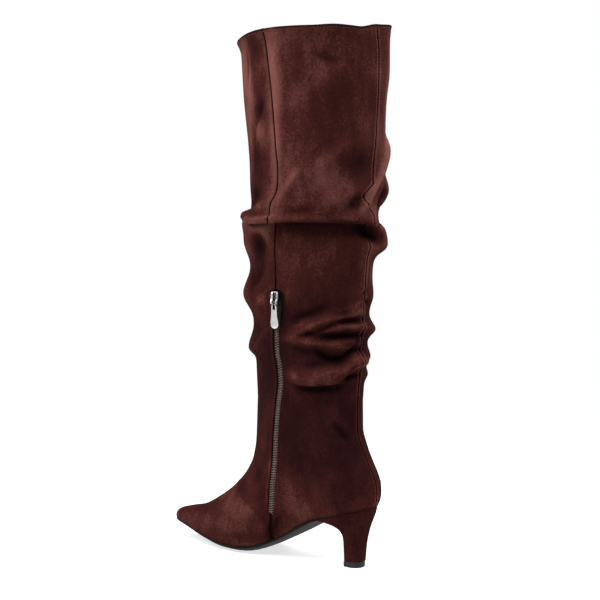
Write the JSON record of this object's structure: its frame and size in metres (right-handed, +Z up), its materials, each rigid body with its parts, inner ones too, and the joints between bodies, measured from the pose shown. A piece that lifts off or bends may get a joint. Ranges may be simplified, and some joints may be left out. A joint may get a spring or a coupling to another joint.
{
  "type": "tall boot",
  "caption": "Tall slouched suede boot with a pointed toe, slim low heel, thin sole and a zip with a hinged pull tab on its inner side.",
  "frame": {"origin": "on the floor, under the middle of the boot's box", "axes": "+Z up; the toe points to -Y; +X is the inner side of a right boot, the side with the zip"},
  "size_m": [0.1474, 0.2534, 0.5175],
  "materials": {
    "suede": "dark burgundy brown suede, matt nap",
    "sole_rubber": "black, satin edge",
    "insole_board": "fabric-faced board, matt",
    "heel_cover": "suede-covered block, matt nap",
    "lift_rubber": "black, matt",
    "zip_fabric": "woven tape",
    "zip_coil": "brown coil",
    "zip_metal": "nickel-coloured, satin"
  },
  "bodies": {
    "boot": {"upper": "suede", "outsole": "sole_rubber", "insole": "insole_board", "heel": "heel_cover", "top_lift": "lift_rubber", "zip_tape": "zip_fabric", "zip_chain": "zip_coil", "zip_slider": "zip_metal"},
    "zip_pull": {"zip_pull": "zip_metal"}
  },
  "joints": [
    {"name": "pull_hinge", "type": "hinge", "parent": "boot", "child": "zip_pull", "pos_m": [0.05375, 0.03969, 0.25675], "axis": [-0.0805, -0.9968, -0.0006], "range_deg": [0, 150]}
  ]
}
